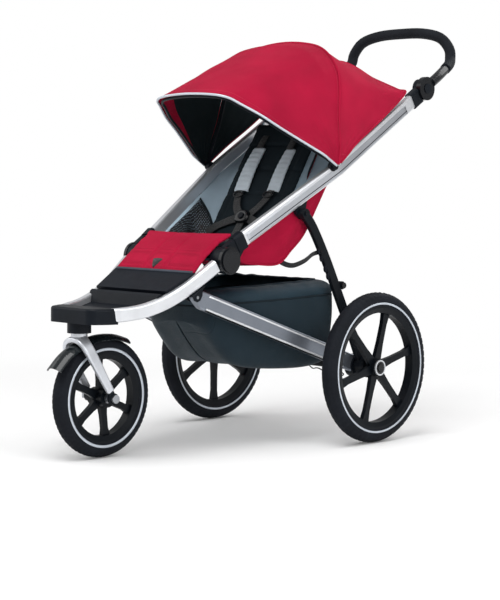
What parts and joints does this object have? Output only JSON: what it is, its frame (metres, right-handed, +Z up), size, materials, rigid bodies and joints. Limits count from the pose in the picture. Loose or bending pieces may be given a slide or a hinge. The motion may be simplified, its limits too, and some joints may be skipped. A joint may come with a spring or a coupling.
{
  "type": "jogging stroller",
  "caption": "Folding jogging stroller with a swivelling front wheel, spoked rear wheels, a reclining harness seat, a folding hood, a basket under the seat and an adjustable handlebar.",
  "frame": {"origin": "on the ground, midway between the two side planes and midway along the overall length at rest", "axes": "+X to the child's left, -Y the way it rolls forward, +Z up"},
  "size_m": [0.6612, 1.3538, 1.1615],
  "materials": {
    "frame_silver": "satin clear-anodised",
    "rail_grey": "satin grey",
    "fork_silver": "satin silver",
    "black_plastic": "fine textured black",
    "gloss_black": "glossy black",
    "leg_black": "satin black",
    "grey_plastic": "textured grey",
    "steel": "brushed",
    "tyre": "moulded rubber with a pale reflective line",
    "rim_black": "satin black moulding",
    "trim_silver": "bright",
    "foam": "closed-cell foam",
    "red_fabric": "plain weave",
    "grey_fabric": "plain weave",
    "dark_fabric": "coated weave",
    "webbing": "ribbed webbing",
    "bushing": "smooth"
  },
  "bodies": {
    "chassis": {"rails": "rail_grey", "axle_tube": "leg_black", "axle_housings": "black_plastic", "stub_axles": "steel", "basket": "dark_fabric", "basket_cover": "dark_fabric"},
    "brake_pedal": {"brake_pedal": "black_plastic"},
    "brake_pin_left": {"brake_pin_left": "steel"},
    "brake_pin_right": {"brake_pin_right": "steel"},
    "wheel_left": {"tyre_left": "tyre", "rim_left": "rim_black", "bearings_left": "steel", "hub_trim_left": "trim_silver"},
    "wheel_right": {"tyre_right": "tyre", "rim_right": "rim_black", "bearings_right": "steel", "hub_trim_right": "trim_silver"},
    "release_button_left": {"release_button_left": "gloss_black"},
    "release_button_right": {"release_button_right": "gloss_black"},
    "front_frame": {"front_tubes": "frame_silver", "lower_knuckles": "black_plastic", "frame_pins": "steel", "rail_brackets": "black_plastic", "nose_housing": "black_plastic", "swivel_bushing": "bushing", "foot_tray": "black_plastic", "foot_panel": "grey_plastic", "leg_panel": "red_fabric"},
    "fork": {"fork": "fork_silver", "dropouts": "black_plastic", "front_axle": "steel", "fender": "black_plastic"},
    "wheel_lever": {"wheel_lever": "steel"},
    "front_wheel": {"tyre_front": "tyre", "rim_front": "rim_black", "bearings_front": "steel"},
    "upper_frame": {"upper_tubes": "frame_silver", "upper_knuckles": "black_plastic", "hinge_caps": "gloss_black", "leg_brackets": "black_plastic", "handle_sockets": "black_plastic", "hood_hubs": "black_plastic", "seat_shell": "red_fabric", "seat_pan": "grey_fabric", "hood_rear_panel": "red_fabric"},
    "seat_back": {"seat_back": "grey_fabric", "shoulder_pads": "grey_fabric", "harness": "webbing", "buckle": "gloss_black"},
    "buckle_button": {"buckle_button": "grey_plastic"},
    "handlebar": {"handle_tube": "leg_black", "handle_grip": "foam", "handle_knuckles": "gloss_black"},
    "handle_button_left": {"handle_button_left": "black_plastic"},
    "handle_button_right": {"handle_button_right": "black_plastic"},
    "middle_bow": {"middle_bow": "black_plastic", "hood_front_panel": "red_fabric"},
    "front_bow": {"front_bow": "black_plastic"},
    "rear_legs": {"rear_legs": "leg_black"},
    "fold_catch": {"fold_catch": "gloss_black"}
  },
  "joints": [
    {"name": "front_fold", "type": "hinge", "parent": "chassis", "child": "front_frame", "pos_m": [0, -0.3384, 0.406], "axis": [1, 0, 0], "range_deg": [0, 94], "deforming": ["basket", "basket_cover", "seat_shell", "seat_pan", "leg_panel"]},
    {"name": "upper_fold", "type": "hinge", "parent": "front_frame", "child": "upper_frame", "pos_m": [0, -0.2404, 0.497], "axis": [1, 0, 0], "range_deg": [-123.5, 0]},
    {"name": "leg_fold", "type": "hinge", "parent": "chassis", "child": "rear_legs", "pos_m": [0, 0.1926, 0.2032], "axis": [1, 0, 0], "range_deg": [0, 27.6]},
    {"name": "swivel", "type": "hinge", "parent": "front_frame", "child": "fork", "pos_m": [0, -0.5864, 0.335], "axis": [0, 0, 1], "continuous": true},
    {"name": "front_wheel_spin", "type": "hinge", "parent": "fork", "child": "front_wheel", "pos_m": [0, -0.5134, 0.1524], "axis": [1, 0, 0], "continuous": true},
    {"name": "wheel_left_spin", "type": "hinge", "parent": "chassis", "child": "wheel_left", "pos_m": [0.3076, 0.1926, 0.2032], "axis": [1, 0, 0], "continuous": true},
    {"name": "wheel_right_spin", "type": "hinge", "parent": "chassis", "child": "wheel_right", "pos_m": [-0.3076, 0.1926, 0.2032], "axis": [1, 0, 0], "continuous": true},
    {"name": "brake_press", "type": "hinge", "parent": "chassis", "child": "brake_pedal", "pos_m": [0, 0.1926, 0.2032], "axis": [1, 0, 0], "range_deg": [-20, 0]},
    {"name": "brake_pin_left_slide", "type": "slide", "parent": "chassis", "child": "brake_pin_left", "axis": [1, 0, 0], "range_m": [0, 0.005]},
    {"name": "brake_pin_right_slide", "type": "slide", "parent": "chassis", "child": "brake_pin_right", "axis": [-1, 0, 0], "range_m": [0, 0.005]},
    {"name": "release_left_press", "type": "slide", "parent": "chassis", "child": "release_button_left", "axis": [-1, 0, 0], "range_m": [0, 0.003]},
    {"name": "release_right_press", "type": "slide", "parent": "chassis", "child": "release_button_right", "axis": [1, 0, 0], "range_m": [0, 0.003]},
    {"name": "wheel_lever_swing", "type": "hinge", "parent": "fork", "child": "wheel_lever", "pos_m": [-0.061, -0.5134, 0.1524], "axis": [0, 0, 1], "range_deg": [0, 150]},
    {"name": "recline", "type": "hinge", "parent": "upper_frame", "child": "seat_back", "pos_m": [0, -0.0474, 0.5], "axis": [1, 0, 0], "range_deg": [-18, 0]},
    {"name": "buckle_press", "type": "slide", "parent": "seat_back", "child": "buckle_button", "axis": [0, 0.848, -0.5299], "range_m": [0, 0.0015]},
    {"name": "handle_adjust", "type": "hinge", "parent": "upper_frame", "child": "handlebar", "pos_m": [0, 0.4796, 0.967], "axis": [1, 0, 0], "range_deg": [-100, 20]},
    {"name": "handle_left_press", "type": "slide", "parent": "handlebar", "child": "handle_button_left", "axis": [-1, 0, 0], "range_m": [0, 0.002]},
    {"name": "handle_right_press", "type": "slide", "parent": "handlebar", "child": "handle_button_right", "axis": [1, 0, 0], "range_m": [0, 0.002]},
    {"name": "hood_middle", "type": "hinge", "parent": "upper_frame", "child": "middle_bow", "pos_m": [0, 0.0946, 0.742], "axis": [1, 0, 0], "range_deg": [-29, 0], "deforming": ["hood_rear_panel"]},
    {"name": "hood_front", "type": "hinge", "parent": "middle_bow", "child": "front_bow", "pos_m": [0, 0.0946, 0.742], "axis": [1, 0, 0], "range_deg": [-52.5, 0], "deforming": ["hood_front_panel"]},
    {"name": "catch_pull", "type": "slide", "parent": "rear_legs", "child": "fold_catch", "axis": [1, 0, 0], "range_m": [0, 0.006]}
  ],
  "couplings": [
    {"joint": "upper_fold", "follows": "front_fold", "ratio": -1.308},
    {"joint": "leg_fold", "follows": "front_fold", "ratio": 0.2917},
    {"joint": "brake_pin_left_slide", "follows": "brake_press", "m_per_rad": -0.01432},
    {"joint": "brake_pin_right_slide", "follows": "brake_press", "m_per_rad": -0.01432},
    {"joint": "hood_front", "follows": "hood_middle", "ratio": 1.8}
  ]
}
